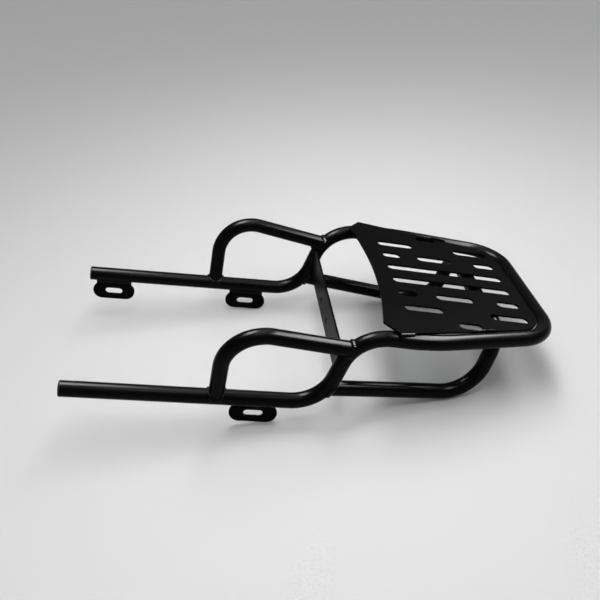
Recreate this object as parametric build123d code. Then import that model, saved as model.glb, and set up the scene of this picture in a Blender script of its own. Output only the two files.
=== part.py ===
from build123d import *
from math import cos, radians, sin, sqrt, tan
import os

# Motorcycle luggage rack, all sizes in millimetres.
# X runs from the front ends to the rear of the hoop, Y to the right of the bike, Z up.
# The origin is under the middle of the rack, level with the lowest edge of the tabs.
# Leads and trails are distances ahead of and behind the corner of the lower bend.
# Heights and drops are measured from the axis of the rails.

# Tube stock
tube_diameter = 22.0
tube_wall = 2.0

# Main tube: two rails, two rises and the hoop, bent from one length
overall_length = 678.0
hoop_length = 329.5
rail_spacing = 308.0
lower_bend_radius = 58.0
rise_run = 32.0
hoop_height = 114.5
upper_bend_radius = 62.0
shoulder_run = 98.0
shoulder_spacing = 327.0
shoulder_bend_reach = 37.0
hoop_rear_spacing = 252.0
rear_corner_radius = 58.0

# End caps in the open front ends
cap_flange = 2.5
cap_edge_radius = 1.6
cap_spigot_length = 14.0
cap_clearance = 0.1

# Grab tubes, one on each rail
grab_foot_lead = 144.0
grab_corner_lead = 140.5
grab_corner_spacing = 334.0
grab_corner_height = 118.0
grab_bend_radius = 55.0
grab_end_drop = 23.5

# Lower support tube: two legs and the cross part under the plate
leg_start_height = 25.0
leg_bend_lead = 18.0
leg_bend_spacing = 251.0
leg_bend_height = 10.5
leg_bend_radius = 57.0
cross_setback = 87.0
cross_side_gap = 1.2
cross_corner_radius = 36.0

# Cross strap, a flat bar on edge between the rises
strap_width = 46.0
strap_thickness = 3.0
strap_height = 61.0
strap_bite = 3.5
strap_hole_diameter = 11.0
strap_hole_spacing = 58.0
strap_hole_drop = 7.0

# Top plate, a flat sheet that leans down to the rear
plate_thickness = 3.0
plate_slope = 2.6
plate_seat_trail = 115.5
plate_seat_gap = 0.2
plate_side_gap = 0.3
front_arc_trail = 79.5
front_arc_depth = 14.5
front_arc_width = 286.0
ear_trail = 83.5
ear_overhang = 8.0
side_start_trail = 131.5
side_knee_trail = 196.5

# Slots in the top plate, alike on both sides of the middle
slot_width = 15.0
slot_row_pitch = 39.0
slot_front_margin = 25.0
slot_rear_margin = 17.7
slot_front_length = 29.0
slot_rear_length = 34.0
slot_front_bridge = 28.0
slot_rear_bridge = 36.0
slot_long_bridge = 70.0
slot_outer_length = 34.0
slot_outer_lead = 4.5
slot_outer_margin = 12.0

# Mounting tabs under the rails
tab_thickness = 4.0
tab_inset = 4.5
tab_width = 67.0
tab_round_radius = 14.8
tab_neck_width = 56.0
tab_drop = 42.6
tab_slot_length = 27.5
tab_slot_width = 11.0
front_tab_station = 38.5
mid_tab_lead = 90.0

# Weld beads
weld_throat = 2.2
weld_spread = 2.6
weld_root_gap = 0.1
stitch_radius = 2.4
stitch_length = 20.0
tab_bead_radius = 3.6
tab_bead_length = 46.0
side_stitch_trail = 207.5
rear_stitch_offset = 62.0
cross_stitch_offset = 55.0

# Worked out from the sizes above
tube_radius = tube_diameter / 2
bore_radius = tube_radius - tube_wall
front_x = -overall_length / 2
rear_x = overall_length / 2 - tube_radius
bend_x = overall_length / 2 - hoop_length
rail_y = rail_spacing / 2
rail_z = tab_drop
hoop_z = rail_z + hoop_height
cross_x = overall_length / 2 - cross_setback
mid_tab_x = bend_x - mid_tab_lead
front_tab_x = front_x + front_tab_station


def rod(path, radius):
    section = Plane(origin=path @ 0, z_dir=path % 0) * Circle(radius)
    return sweep(section, path=path)


def mirrored_path(side_points, radii):
    # A tube that starts on the right, crosses the middle and ends on the left.
    other_side = [(x, -y, z) for x, y, z in reversed(side_points)]
    return FilletPolyline(*side_points, *other_side, radius=radii + radii[::-1])


def point_where(path, measure, target, low, high):
    # Halves a stretch of the path until the measured coordinate, which grows along it, meets the target.
    for _ in range(40):
        middle = (low + high) / 2
        if measure(path @ middle) < target:
            low = middle
        else:
            high = middle
    return path @ low


def collar(branch, branch_grown):
    # A weld collar is what lies close to both pieces and inside neither.
    return (branch_grown - branch - side_solid) & side_grown


def tube_collar(start, end):
    # The joint lies in a straight stretch of the branch.
    run = Line(start, end)
    return collar(rod(run, tube_radius), rod(run, tube_radius + weld_spread))


def stitch(start, end, radius, *pieces):
    # A short bead with round ends, cut back to the faces of the pieces it joins.
    run = Line(start, end)
    bead = Cylinder(radius, run.length + 2 * radius)
    bead = fillet(bead.edges().filter_by(GeomType.CIRCLE), radius * 0.9)
    bead = Plane(origin=run @ 0.5, z_dir=run % 0) * bead
    for piece in pieces:
        bead -= piece
    return bead


def group(*shapes):
    return Compound(children=[solid for shape in shapes for solid in shape.solids()])


# The shoulder bend takes a set length of tube on each side of its corner
rise_top = Vector(bend_x + rise_run, rail_y, hoop_z)
shoulder = Vector(rise_top.X + shoulder_run, shoulder_spacing / 2, hoop_z)
hoop_corner = Vector(rear_x, hoop_rear_spacing / 2, hoop_z)
shoulder_turn = (shoulder - rise_top).get_angle(hoop_corner - shoulder)
shoulder_bend_radius = shoulder_bend_reach / tan(radians(shoulder_turn) / 2)

# Main tube
main_points = [
    (front_x + cap_flange, rail_y, rail_z),
    (bend_x, rail_y, rail_z),
    tuple(rise_top),
    tuple(shoulder),
    tuple(hoop_corner),
]
main_radii = [lower_bend_radius, upper_bend_radius, shoulder_bend_radius, rear_corner_radius]
main_path = mirrored_path(main_points, main_radii)
main_solid = rod(main_path, tube_radius)
main_cope = rod(main_path, tube_radius + weld_root_gap)
main_tube = main_solid - rod(main_path, bore_radius)

# The right rail and rise alone, to shape the welds on that side
side_path = FilletPolyline(*main_points[:4], radius=main_radii[:2])
side_solid = rod(side_path, tube_radius)
side_grown = rod(side_path, tube_radius + weld_throat)


def main_at_height(height):
    return point_where(main_path, lambda point: point.Z, rail_z + height, 0.1, 0.3)


def hoop_half_width(x):
    return point_where(main_path, lambda point: point.X, x, 0.1, 0.42).Y


# Right grab tube, coped to the rail and to the rise
grab_foot = (bend_x - grab_foot_lead, rail_y, rail_z)
grab_corner = (bend_x - grab_corner_lead, grab_corner_spacing / 2, rail_z + grab_corner_height)
grab_top = tuple(main_at_height(hoop_height - grab_end_drop))
grab_path = FilletPolyline(grab_foot, grab_corner, grab_top, radius=grab_bend_radius)
grab_tube = rod(grab_path, tube_radius) - rod(grab_path, bore_radius) - main_cope

# Top plate, drawn on a leaning plane that meets the top of the hoop at the seat
slope = radians(plate_slope)
seat_x = bend_x + plate_seat_trail
plate_plane = Plane(
    origin=(seat_x, 0, hoop_z + tube_radius + plate_seat_gap),
    x_dir=(cos(slope), 0, -sin(slope)),
    z_dir=(sin(slope), 0, cos(slope)),
)


def on_sheet(x, y):
    return ((x - seat_x) / cos(slope), y)


def sheet_point(x, y, lift):
    return tuple((plate_plane * Pos(*on_sheet(x, y), lift)).position)


def under_sheet(x):
    return plate_plane.origin.Z - (x - seat_x) * tan(slope)


def sheet_edge(x):
    # The tube wall stands in from its axis by less where the sheet lies higher on it.
    height = min(under_sheet(x) - hoop_z, tube_radius)
    return hoop_half_width(x) - sqrt(tube_radius**2 - height**2) - plate_side_gap


front_arc_x = bend_x + front_arc_trail
ear_x = bend_x + ear_trail
side_start_x = bend_x + side_start_trail
side_knee_x = bend_x + side_knee_trail
rear_edge_x = rear_x - tube_radius - plate_side_gap
ear_half_width = hoop_half_width(ear_x) + ear_overhang
rear_half_width = hoop_corner.Y - tube_radius - plate_side_gap
right_edge = [
    (front_arc_x - front_arc_depth, front_arc_width / 2),
    (ear_x, ear_half_width),
    (side_start_x, sheet_edge(side_start_x)),
    (side_knee_x, sheet_edge(side_knee_x)),
    (rear_edge_x, rear_half_width),
]
border = [on_sheet(x, y) for x, y in right_edge]
border += [on_sheet(x, -y) for x, y in reversed(right_edge)]
front_arc = ThreePointArc(border[-1], on_sheet(front_arc_x, 0), border[0])
sheet = make_face([front_arc, Polyline(*border)])
rear_corners = sheet.vertices().group_by(Axis.X)[-1]
sheet = fillet(rear_corners, rear_corner_radius - tube_radius - plate_side_gap)
plate_blank = extrude(plate_plane * sheet, plate_thickness)
load_space = extrude(plate_plane * sheet, plate_thickness + 2 * stitch_radius)

# Each row has its distance from the middle and the first and last X of each slot
field_start = front_arc_x + slot_front_margin
field_end = rear_edge_x - slot_rear_margin
field_middle = (field_start + field_end) / 2
front_slot_end = field_start + slot_front_length
rear_slot_start = field_end - slot_rear_length
outer_start = field_middle - slot_outer_lead - slot_outer_length / 2
outer_row = sheet_edge(outer_start + slot_outer_length / 2) - slot_outer_margin
slot_rows = {
    slot_row_pitch * 0.5: [(field_start, field_end)],
    slot_row_pitch * 1.5: [
        (field_start, front_slot_end),
        (front_slot_end + slot_front_bridge, rear_slot_start - slot_rear_bridge),
        (rear_slot_start, field_end),
    ],
    slot_row_pitch * 2.5: [
        (field_start, field_middle - slot_long_bridge / 2),
        (field_middle + slot_long_bridge / 2, field_end),
    ],
    outer_row: [(outer_start, outer_start + slot_outer_length)],
}
for offset, spans in slot_rows.items():
    for first, last in spans:
        for y in (-offset, offset):
            sheet -= Pos(*on_sheet((first + last) / 2, y)) * SlotOverall(last - first, slot_width)
top_plate = extrude(plate_plane * sheet, plate_thickness)

# Lower support tube, with its cross part just under the sheet and inside the hoop
cross_y = hoop_half_width(cross_x) - tube_diameter - cross_side_gap
cross_z = under_sheet(cross_x) - tube_radius / cos(slope) - plate_seat_gap
leg_start = tuple(main_at_height(leg_start_height))
leg_bend = (cross_x - leg_bend_lead, leg_bend_spacing / 2, rail_z + leg_bend_height)
lower_path = mirrored_path(
    [leg_start, leg_bend, (cross_x, cross_y, cross_z)], [leg_bend_radius, cross_corner_radius])
lower_support_tube = rod(lower_path, tube_radius) - rod(lower_path, bore_radius) - main_cope

# Cross strap, coped to the inner faces of the rises
strap_centre = main_at_height(strap_height)
strap_place = Pos(strap_centre.X, 0, strap_centre.Z)
strap_length = rail_spacing - tube_diameter + 2 * strap_bite
strap_solid = strap_place * Box(strap_thickness, strap_length, strap_width)
strap_grown = strap_place * Box(strap_thickness + 2 * weld_throat, strap_length, strap_width)
strap_hole = Rot(Y=90) * Cylinder(strap_hole_diameter / 2, 2 * strap_thickness)
cross_strap = strap_solid - main_cope
for y in (-strap_hole_spacing / 2, strap_hole_spacing / 2):
    cross_strap -= strap_place * Pos(0, y, -strap_hole_drop) * strap_hole
strap_weld = collar(strap_solid, strap_grown)


# Slotted tab with round ends, drawn upright under its rail and coped to it
def right_tab(x):
    plane = Plane(origin=(x, rail_y - tab_inset, rail_z), x_dir=(1, 0, 0), z_dir=(0, -1, 0))
    middle = Pos(0, tab_round_radius - tab_drop)
    profile = middle * SlotOverall(tab_width, 2 * tab_round_radius)
    profile += middle * Rectangle(
        tab_neck_width, tab_drop - tab_round_radius, align=(Align.CENTER, Align.MIN))
    profile -= middle * SlotOverall(tab_slot_length, tab_slot_width)
    return extrude(plane * profile, tab_thickness / 2, both=True) - main_cope


def right_tab_weld(x, tab):
    # A bead along each side of the tab, in the groove between it and the rail.
    first = x - tab_bead_length / 2
    last = x + tab_bead_length / 2
    beads = []
    for side in (-1, 1):
        offset = side * tab_thickness / 2 - tab_inset
        spot = (rail_y + offset, rail_z - sqrt(tube_radius**2 - offset**2))
        beads.append(stitch((first, *spot), (last, *spot), tab_bead_radius, tab, main_solid))
    return group(*beads)


right_mid_tab = right_tab(mid_tab_x)
right_front_tab = right_tab(front_tab_x)
right_mid_tab_weld = right_tab_weld(mid_tab_x, right_mid_tab)
right_front_tab_weld = right_tab_weld(front_tab_x, right_front_tab)

# Closing cap with a rounded flange and a spigot in the bore
flange = extrude(Circle(tube_radius), cap_flange)
flange = fillet(flange.edges().group_by(Axis.Z)[0], cap_edge_radius)
spigot = Pos(0, 0, cap_flange) * extrude(Circle(bore_radius - cap_clearance), cap_spigot_length)
right_end_cap = Pos(front_x, rail_y, rail_z) * Rot(Y=90) * (flange + spigot)


# Stitch beads beside the edge of the plate, clear of the space over it
def edge_stitch(first, last, lift):
    return stitch(sheet_point(*first, lift), sheet_point(*last, lift), stitch_radius, load_space, main_solid)


def along(first, last, distance):
    # The point a set distance from the first towards the last.
    run = Line((*first, 0), (*last, 0))
    point = run @ (distance / run.length)
    return (point.X, point.Y)


ear, edge_start, edge_knee, rear_corner = right_edge[1:]
side_first = side_stitch_trail - side_knee_trail
plate_welds = group(
    edge_stitch(along(ear, edge_start, stitch_radius), along(ear, edge_start, stitch_length), 0),
    edge_stitch(
        along(edge_knee, rear_corner, side_first),
        along(edge_knee, rear_corner, side_first + stitch_length), plate_thickness),
    edge_stitch(
        (rear_edge_x, rear_stitch_offset),
        (rear_edge_x, rear_stitch_offset - stitch_length), plate_thickness),
)

# Stitch beads in the grooves between the sheet and the straight cross part
cross_bar = Pos(cross_x, 0, cross_z) * Rot(X=90) * Cylinder(tube_radius, 2 * cross_y)
cross_beads = []
groove_reach = sqrt(tube_radius**2 - (tube_radius - stitch_radius) ** 2)
for x in (cross_x - groove_reach, cross_x + groove_reach):
    for y in (-cross_stitch_offset, cross_stitch_offset):
        first = sheet_point(x, y - stitch_length / 2, -stitch_radius / 2)
        last = sheet_point(x, y + stitch_length / 2, -stitch_radius / 2)
        cross_beads.append(stitch(first, last, stitch_radius, plate_blank, cross_bar))

nodes = {
    "main_tube": main_tube,
    "lower_support_tube": lower_support_tube,
    "cross_strap": cross_strap,
    "top_plate": top_plate,
    "right_front_tab": right_front_tab,
    "right_front_tab_weld": right_front_tab_weld,
    "cross_part_welds": group(*cross_beads),
}
right_pieces = {
    "grab_tube": grab_tube,
    "grab_foot_weld": tube_collar(grab_foot, grab_corner),
    "grab_top_weld": tube_collar(grab_top, grab_corner) - strap_grown,
    "leg_weld": tube_collar(leg_start, leg_bend),
    "strap_weld": strap_weld,
    "mid_tab": right_mid_tab,
    "mid_tab_weld": right_mid_tab_weld,
    "end_cap": right_end_cap,
    "plate_welds": plate_welds,
}
for name, shape in right_pieces.items():
    nodes[f"right_{name}"] = shape
    nodes[f"left_{name}"] = mirror(shape, about=Plane.XZ)

os.makedirs("parts", exist_ok=True)
for name, shape in nodes.items():
    export_step(shape, f"parts/{name}.step")
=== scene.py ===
import math

import bmesh
import bpy
import numpy
from mathutils import Matrix, Vector


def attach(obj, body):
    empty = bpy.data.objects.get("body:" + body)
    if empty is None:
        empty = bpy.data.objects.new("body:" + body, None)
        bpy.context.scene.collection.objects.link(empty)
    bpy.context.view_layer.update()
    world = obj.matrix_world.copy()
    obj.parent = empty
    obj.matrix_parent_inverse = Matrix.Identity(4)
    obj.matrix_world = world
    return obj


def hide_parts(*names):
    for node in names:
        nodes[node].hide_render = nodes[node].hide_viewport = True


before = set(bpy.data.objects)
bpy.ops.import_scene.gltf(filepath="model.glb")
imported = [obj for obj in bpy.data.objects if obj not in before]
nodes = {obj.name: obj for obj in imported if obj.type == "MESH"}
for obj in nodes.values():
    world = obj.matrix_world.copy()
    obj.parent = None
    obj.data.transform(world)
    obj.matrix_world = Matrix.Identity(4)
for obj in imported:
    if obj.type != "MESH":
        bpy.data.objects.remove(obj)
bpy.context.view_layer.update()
scene = bpy.context.scene
scene.view_settings.view_transform = "Standard"
print("frame loaded,", len(nodes), "nodes")

# helpers for shader nodes and objects

def addNode(tree, kind, x, y, **values):
    node = tree.nodes.new(kind)
    node.location = (x, y)
    for name, value in values.items():
        setattr(node, name, value)
    return node

def setInputs(node, **values):
    # an underscore in a keyword stands for a space in the socket's name
    for name, value in values.items():
        node.inputs[name.replace("_", " ")].default_value = value
    return node

def newGroup(name, inputs, outputs):
    group = bpy.data.node_groups.new(name, "ShaderNodeTree")
    for socket, kind, value in inputs:
        made = group.interface.new_socket(socket, in_out="INPUT", socket_type=kind)
        made.default_value = value
    for socket, kind in outputs:
        group.interface.new_socket(socket, in_out="OUTPUT", socket_type=kind)
    start = addNode(group, "NodeGroupInput", -900, 0)
    end = addNode(group, "NodeGroupOutput", 700, 0)
    return group, start, end

def grey(level):
    return (level, level, level, 1)

def addObject(name, data):
    made = bpy.data.objects.new(name, data)
    scene.collection.objects.link(made)
    return made

# powder coat skin: cloudy gloss, fine grain and orange peel

skinLook = {"cloud": {"Scale": 14.0, "Detail": 4.0, "Roughness": 0.55},
            "cloudSpan": {"From_Min": 0.3, "From_Max": 0.7}, "cloudShare": 0.6,
            "grain": {"Scale": 420.0, "Detail": 2.0},
            "grainSpan": {"From_Min": 0.35, "From_Max": 0.8}, "grainShare": 0.4,
            "peel": {"Detail": 2.0, "Roughness": 0.4}, "peelHeight": 0.0004}

def buildCoatSkin():
    group, start, end = newGroup(
        "powderCoatSkin",
        [("Colour", "NodeSocketColor", grey(0.01)), ("Lift", "NodeSocketColor", grey(0.02)),
         ("Gloss low", "NodeSocketFloat", 0.3), ("Gloss high", "NodeSocketFloat", 0.4),
         ("Peel size", "NodeSocketFloat", 700.0), ("Peel depth", "NodeSocketFloat", 0.05)],
        [("Colour", "NodeSocketColor"), ("Roughness", "NodeSocketFloat"), ("Normal", "NodeSocketVector")])
    link = group.links.new
    place = addNode(group, "ShaderNodeTexCoord", -900, -300)
    cloud = setInputs(addNode(group, "ShaderNodeTexNoise", -600, 250), **skinLook["cloud"])
    grain = setInputs(addNode(group, "ShaderNodeTexNoise", -600, 0), **skinLook["grain"])
    peel = setInputs(addNode(group, "ShaderNodeTexNoise", -600, -300), **skinLook["peel"])
    for texture in (cloud, grain, peel):
        link(place.outputs["Object"], texture.inputs["Vector"])
    link(start.outputs["Peel size"], peel.inputs["Scale"])
    cloudSpan = setInputs(addNode(group, "ShaderNodeMapRange", -350, 250), **skinLook["cloudSpan"])
    link(cloud.outputs["Fac"], cloudSpan.inputs["Value"])
    grainSpan = setInputs(addNode(group, "ShaderNodeMapRange", -350, 0), **skinLook["grainSpan"])
    link(grain.outputs["Fac"], grainSpan.inputs["Value"])
    grainPart = addNode(group, "ShaderNodeMath", -120, -60, operation="MULTIPLY")
    grainPart.inputs[1].default_value = skinLook["grainShare"]
    link(grainSpan.outputs["Result"], grainPart.inputs[0])
    both = addNode(group, "ShaderNodeMath", -120, 120, operation="MULTIPLY_ADD")
    both.inputs[1].default_value = skinLook["cloudShare"]
    link(cloudSpan.outputs["Result"], both.inputs[0])
    link(grainPart.outputs[0], both.inputs[2])
    tint = addNode(group, "ShaderNodeMix", 120, 250, data_type="RGBA")
    link(both.outputs[0], tint.inputs["Factor"])
    link(start.outputs["Colour"], tint.inputs["A"])
    link(start.outputs["Lift"], tint.inputs["B"])
    gloss = addNode(group, "ShaderNodeMix", 120, 0, data_type="FLOAT")
    link(both.outputs[0], gloss.inputs["Factor"])
    link(start.outputs["Gloss low"], gloss.inputs["A"])
    link(start.outputs["Gloss high"], gloss.inputs["B"])
    bump = setInputs(addNode(group, "ShaderNodeBump", 120, -300), Distance=skinLook["peelHeight"])
    link(start.outputs["Peel depth"], bump.inputs["Strength"])
    link(peel.outputs["Fac"], bump.inputs["Height"])
    link(tint.outputs["Result"], end.inputs["Colour"])
    link(gloss.outputs["Result"], end.inputs["Roughness"])
    link(bump.outputs["Normal"], end.inputs["Normal"])
    return group

coatSkin = buildCoatSkin()

def coatMaterial(name, look):
    material = bpy.data.materials.new(name)
    material.use_nodes = True
    tree = material.node_tree
    shader = tree.nodes["Principled BSDF"]
    setInputs(shader, Metallic=0.0, IOR=look["ior"], Specular_IOR_Level=look["specular"])
    skin = addNode(tree, "ShaderNodeGroup", -350, 100, node_tree=coatSkin)
    setInputs(skin, Colour=(*look["colour"], 1), Lift=(*look["lift"], 1),
              Gloss_low=look["gloss"][0], Gloss_high=look["gloss"][1],
              Peel_size=look["peel"][0], Peel_depth=look["peel"][1])
    tree.links.new(skin.outputs["Colour"], shader.inputs["Base Color"])
    tree.links.new(skin.outputs["Roughness"], shader.inputs["Roughness"])
    tree.links.new(skin.outputs["Normal"], shader.inputs["Normal"])
    return material

def setMaterial(mesh, material):
    mesh.materials.clear()
    mesh.materials.append(material)

# tubes

tubeLook = {"colour": (0.0008, 0.0008, 0.0009), "lift": (0.0016, 0.0016, 0.0018), "gloss": (0.22, 0.27),
            "peel": (650.0, 0.012), "specular": 0.05, "ior": 1.5}
tubeNames = ["main_tube", "left_grab_tube", "right_grab_tube", "lower_support_tube"]

tubeCoat = coatMaterial("tubeCoat", tubeLook)
for name in tubeNames:
    setMaterial(nodes[name].data, tubeCoat)
print("tubes dressed")

# copies of nodes, merged for more work

mergeDistance = 1e-6

def startCopy(nodeName, pieceName):
    mesh = nodes[nodeName].data.copy()
    mesh.name = pieceName
    shape = bmesh.new()
    shape.from_mesh(mesh)
    bmesh.ops.remove_doubles(shape, verts=shape.verts, dist=mergeDistance)
    return mesh, shape

def finishCopy(mesh, shape, material):
    shape.to_mesh(mesh)
    shape.free()
    # a copy brings the CAD normals along, which no longer fit its new shape
    for name in ("custom_normal", "sharp_edge", "sharp_face"):
        if name in mesh.attributes:
            mesh.attributes.remove(mesh.attributes[name])
    setMaterial(mesh, material)
    return addObject(mesh.name, mesh)

# sheet pieces: copies of the cut sheets with the coat drawn round their edges

sheetLook = {"colour": (0.0018, 0.0018, 0.002), "lift": (0.0028, 0.0028, 0.003), "gloss": (0.3, 0.36),
             "peel": (520.0, 0.02), "specular": 0.015, "ior": 1.5}
sheetEdge = {"radius": 0.0006, "segments": 2, "sharpAngle": 40.0, "flatAngle": 0.5}
sheetPieces = {"top_plate": "luggagePlate", "cross_strap": "flatStrap", "left_mid_tab": "leftMidTab",
               "right_mid_tab": "rightMidTab", "right_front_tab": "rightFrontTab"}
sheetCoat = coatMaterial("sheetCoat", sheetLook)

def roundedSheet(nodeName, pieceName):
    mesh, shape = startCopy(nodeName, pieceName)
    bmesh.ops.dissolve_limit(shape, angle_limit=math.radians(sheetEdge["flatAngle"]),
                             verts=shape.verts, edges=shape.edges)
    piece = finishCopy(mesh, shape, sheetCoat)
    bevel = piece.modifiers.new("coatEdge", "BEVEL")
    bevel.width = sheetEdge["radius"]
    bevel.segments = sheetEdge["segments"]
    bevel.limit_method = "ANGLE"
    bevel.angle_limit = math.radians(sheetEdge["sharpAngle"])
    bevel.harden_normals = True
    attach(piece, "root")
    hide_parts(nodeName)

for nodeName, pieceName in sheetPieces.items():
    roundedSheet(nodeName, pieceName)
print("sheet pieces made")

# welds: copies of the bead nodes with the ripples of a hand weld raised on them

weldLook = {"colour": (0.0009, 0.0009, 0.001), "lift": (0.002, 0.002, 0.0022), "gloss": (0.15, 0.22),
            "peel": (330.0, 0.15), "specular": 0.07, "ior": 1.5}
weldRipple = {"pitch": 0.0028, "height": 0.0003, "sunkShare": 0.5, "longestEdge": 0.0012, "passes": 4,
              "sharpAngle": 55.0, "stitchSpread": 4.0}
weldNames = [name for name in nodes if "weld" in name]
weldCoat = coatMaterial("weldCoat", weldLook)

def beadIslands(shape):
    shape.verts.index_update()
    waiting = set(shape.verts)
    while waiting:
        island, rim = [], [waiting.pop()]
        while rim:
            vert = rim.pop()
            island.append(vert)
            near = {edge.other_vert(vert) for edge in vert.link_edges} & waiting
            waiting -= near
            rim.extend(near)
        yield sorted(island, key=lambda vert: vert.index)  # same order in each run

def distancesAlong(island):
    # a stitch is measured along its length, a collar round its middle in whole ripples
    points = numpy.array([vert.co for vert in island])
    points -= points.mean(axis=0)
    spread, axes = numpy.linalg.eigh(points.T @ points)
    middleWay, longWay = (points @ axes[:, 1:]).T
    if spread[2] > weldRipple["stitchSpread"] * spread[1]:
        return longWay
    turn = math.tau * numpy.hypot(middleWay, longWay).mean()
    ripples = max(round(turn / weldRipple["pitch"]), 1)
    return numpy.arctan2(longWay, middleWay) / math.tau * ripples * weldRipple["pitch"]

def splitLongEdges(shape):
    for _ in range(weldRipple["passes"]):
        longEdges = [edge for edge in shape.edges if edge.calc_length() > weldRipple["longestEdge"]]
        if longEdges:
            bmesh.ops.subdivide_edges(shape, edges=longEdges, cuts=1, use_grid_fill=True,
                                      use_single_edge=True)
            bmesh.ops.triangulate(shape, faces=shape.faces)

def rippledWeld(nodeName):
    words = nodeName.split("_")
    pieceName = words[0] + "".join(word.capitalize() for word in words[1:])
    mesh, shape = startCopy(nodeName, pieceName)
    splitLongEdges(shape)
    shape.normal_update()
    for island in beadIslands(shape):
        for vert, along in zip(island, distancesAlong(island)):
            rise = abs(math.sin(math.pi * along / weldRipple["pitch"])) - weldRipple["sunkShare"]
            vert.co += vert.normal * weldRipple["height"] * rise
    piece = finishCopy(mesh, shape, weldCoat)
    mesh.set_sharp_from_angle(angle=math.radians(weldRipple["sharpAngle"]))
    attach(piece, "root")
    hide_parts(nodeName)

for name in weldNames:
    rippledWeld(name)
print("welds made,", len(weldNames))

# caps

capLook = {"colour": (0.003, 0.003, 0.003), "lift": (0.006, 0.006, 0.006), "gloss": (0.5, 0.62),
           "peel": (900.0, 0.3), "specular": 0.12, "ior": 1.46}
capNames = ["left_end_cap", "right_end_cap"]

capPlastic = coatMaterial("capPlastic", capLook)
for name in capNames:
    setMaterial(nodes[name].data, capPlastic)
print("caps dressed")

# floor: the rack lies on its middle tabs and on the two rear bends of the lower tube

floorLook = {"size": 24.0, "gap": 0.0003, "pale": 0.845, "dull": 0.83, "roughness": 0.9, "specular": 0.1,
             "cloud": {"Scale": 1.6, "Detail": 2.0}}
restOn = {"tabs": ["left_mid_tab", "right_mid_tab"], "tube": ["lower_support_tube"],
          "steepest": 0.4, "halvings": 40}

def lowestLine(names, slope):
    return min(vert.co.z - slope * vert.co.x for name in names for vert in nodes[name].data.vertices)

def restSlope():
    low, high = 0.0, restOn["steepest"]
    for _ in range(restOn["halvings"]):
        slope = (low + high) / 2
        if lowestLine(restOn["tabs"], slope) < lowestLine(restOn["tube"], slope):
            low = slope
        else:
            high = slope
    return slope

floorSlope = restSlope()
floorDrop = lowestLine(restOn["tabs"], floorSlope)
floorTurn = Matrix.Rotation(-math.atan(floorSlope), 4, "Y")
floorPlace = Matrix.Translation((0, 0, floorDrop - floorLook["gap"])) @ floorTurn
print("floor slope in degrees", round(math.degrees(math.atan(floorSlope)), 2))

def floorMaterial():
    material = bpy.data.materials.new("paleFloor")
    material.use_nodes = True
    tree = material.node_tree
    shader = tree.nodes["Principled BSDF"]
    setInputs(shader, Roughness=floorLook["roughness"], Specular_IOR_Level=floorLook["specular"])
    place = addNode(tree, "ShaderNodeTexCoord", -700, 0)
    cloud = setInputs(addNode(tree, "ShaderNodeTexNoise", -500, 0), **floorLook["cloud"])
    tree.links.new(place.outputs["Object"], cloud.inputs["Vector"])
    shade = addNode(tree, "ShaderNodeValToRGB", -300, 0)
    shade.color_ramp.elements[0].color = grey(floorLook["dull"])
    shade.color_ramp.elements[1].color = grey(floorLook["pale"])
    tree.links.new(cloud.outputs["Fac"], shade.inputs["Fac"])
    tree.links.new(shade.outputs["Color"], shader.inputs["Base Color"])
    return material

def buildFloor():
    shape = bmesh.new()
    bmesh.ops.create_grid(shape, x_segments=2, y_segments=2, size=floorLook["size"])
    bmesh.ops.transform(shape, matrix=floorPlace, verts=shape.verts)
    mesh = bpy.data.meshes.new("floor")
    shape.to_mesh(mesh)
    shape.free()
    mesh.materials.append(floorMaterial())
    floor = addObject("floor", mesh)

buildFloor()

# light: a soft panel overhead, a weak one from the front, two that only show as highlights, and a dim room

lights = {
    "overhead": {"place": (0.08, 0.03, 1.15), "aim": (0.08, -0.02, 0.0), "size": (1.7, 0.3),
                 "power": 9.1, "diffuse": True},
    "leftSheen": {"place": (-0.35, 0.26, 1.2), "aim": (-0.35, 0.21, 0.0), "size": (0.7, 0.4),
                  "power": 56.0, "diffuse": False},
    "rightSheen": {"place": (0.9, 0.07, 1.2), "aim": (0.9, 0.02, 0.0), "size": (1.4, 0.46),
                   "power": 160.0, "diffuse": False},
    "frontFill": {"place": (-0.3, -1.3, 1.3), "aim": (0.0, 0.0, 0.0), "size": (1.2, 0.8),
                  "power": 0.8, "diffuse": True},
}
room = {"horizon": (0.0, 0.35), "wall": (0.2, 0.35), "dimmest": (0.5, 0.17), "ceiling": (0.95, 0.66)}

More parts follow.
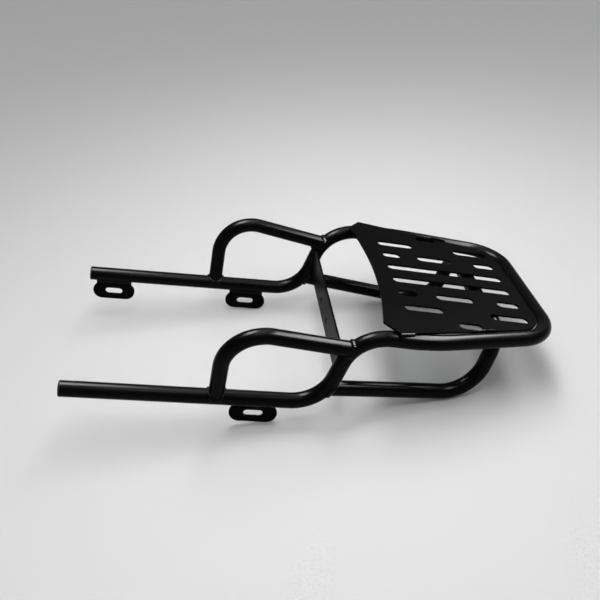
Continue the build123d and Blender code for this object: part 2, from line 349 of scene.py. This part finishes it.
def addPanel(name, look):
    lamp = bpy.data.lights.new(name, "AREA")
    lamp.shape = "RECTANGLE"
    lamp.size, lamp.size_y = look["size"]
    lamp.energy = look["power"]
    panel = addObject(name, lamp)
    place = floorTurn @ Vector(look["place"])  # places are given square to the floor
    aim = floorTurn @ Vector(look["aim"])
    panel.location = place
    panel.rotation_euler = (aim - place).to_track_quat("-Z", "Y").to_euler()
    panel.visible_diffuse = look["diffuse"]

for name, look in lights.items():
    addPanel(name, look)

def buildRoom():
    world = bpy.data.worlds.new("room")
    scene.world = world
    world.use_nodes = True
    tree = world.node_tree
    back = tree.nodes["Background"]
    place = addNode(tree, "ShaderNodeTexCoord", -900, 0)
    split = addNode(tree, "ShaderNodeSeparateXYZ", -700, 0)
    tree.links.new(place.outputs["Generated"], split.inputs["Vector"])
    shade = addNode(tree, "ShaderNodeValToRGB", -450, 0)
    ramp = shade.color_ramp
    ramp.elements.remove(ramp.elements[1])
    for step, (height, level) in enumerate(room.values()):
        stop = ramp.elements.new(height) if step else ramp.elements[0]
        stop.position = height
        stop.color = grey(level)
    tree.links.new(split.outputs["Z"], shade.inputs["Fac"])
    tree.links.new(shade.outputs["Color"], back.inputs["Color"])

buildRoom()
print("floor and light set")

# camera, fitted to the photo

view = {"place": (-0.1941, -0.9502, 0.6767), "right": (0.9842, -0.1002, 0.1462),
        "forward": (0.1613, 0.8483, -0.5043), "focalPixels": 745.5, "framePixels": 600.0,
        "sensor": 36.0, "farthest": 60.0}

def addCamera():
    forward = Vector(view["forward"]).normalized()
    right = Vector(view["right"])
    right = (right - forward * right.dot(forward)).normalized()
    up = right.cross(forward)
    turn = Matrix((right, up, -forward)).transposed().to_4x4()
    lens = bpy.data.cameras.new("photoView")
    lens.sensor_width = view["sensor"]
    lens.sensor_fit = "HORIZONTAL"
    lens.lens = view["sensor"] * view["focalPixels"] / view["framePixels"]
    lens.clip_end = view["farthest"]
    camera = addObject("photoView", lens)
    camera.matrix_world = Matrix.Translation(view["place"]) @ turn
    scene.camera = camera

addCamera()
print("camera set")
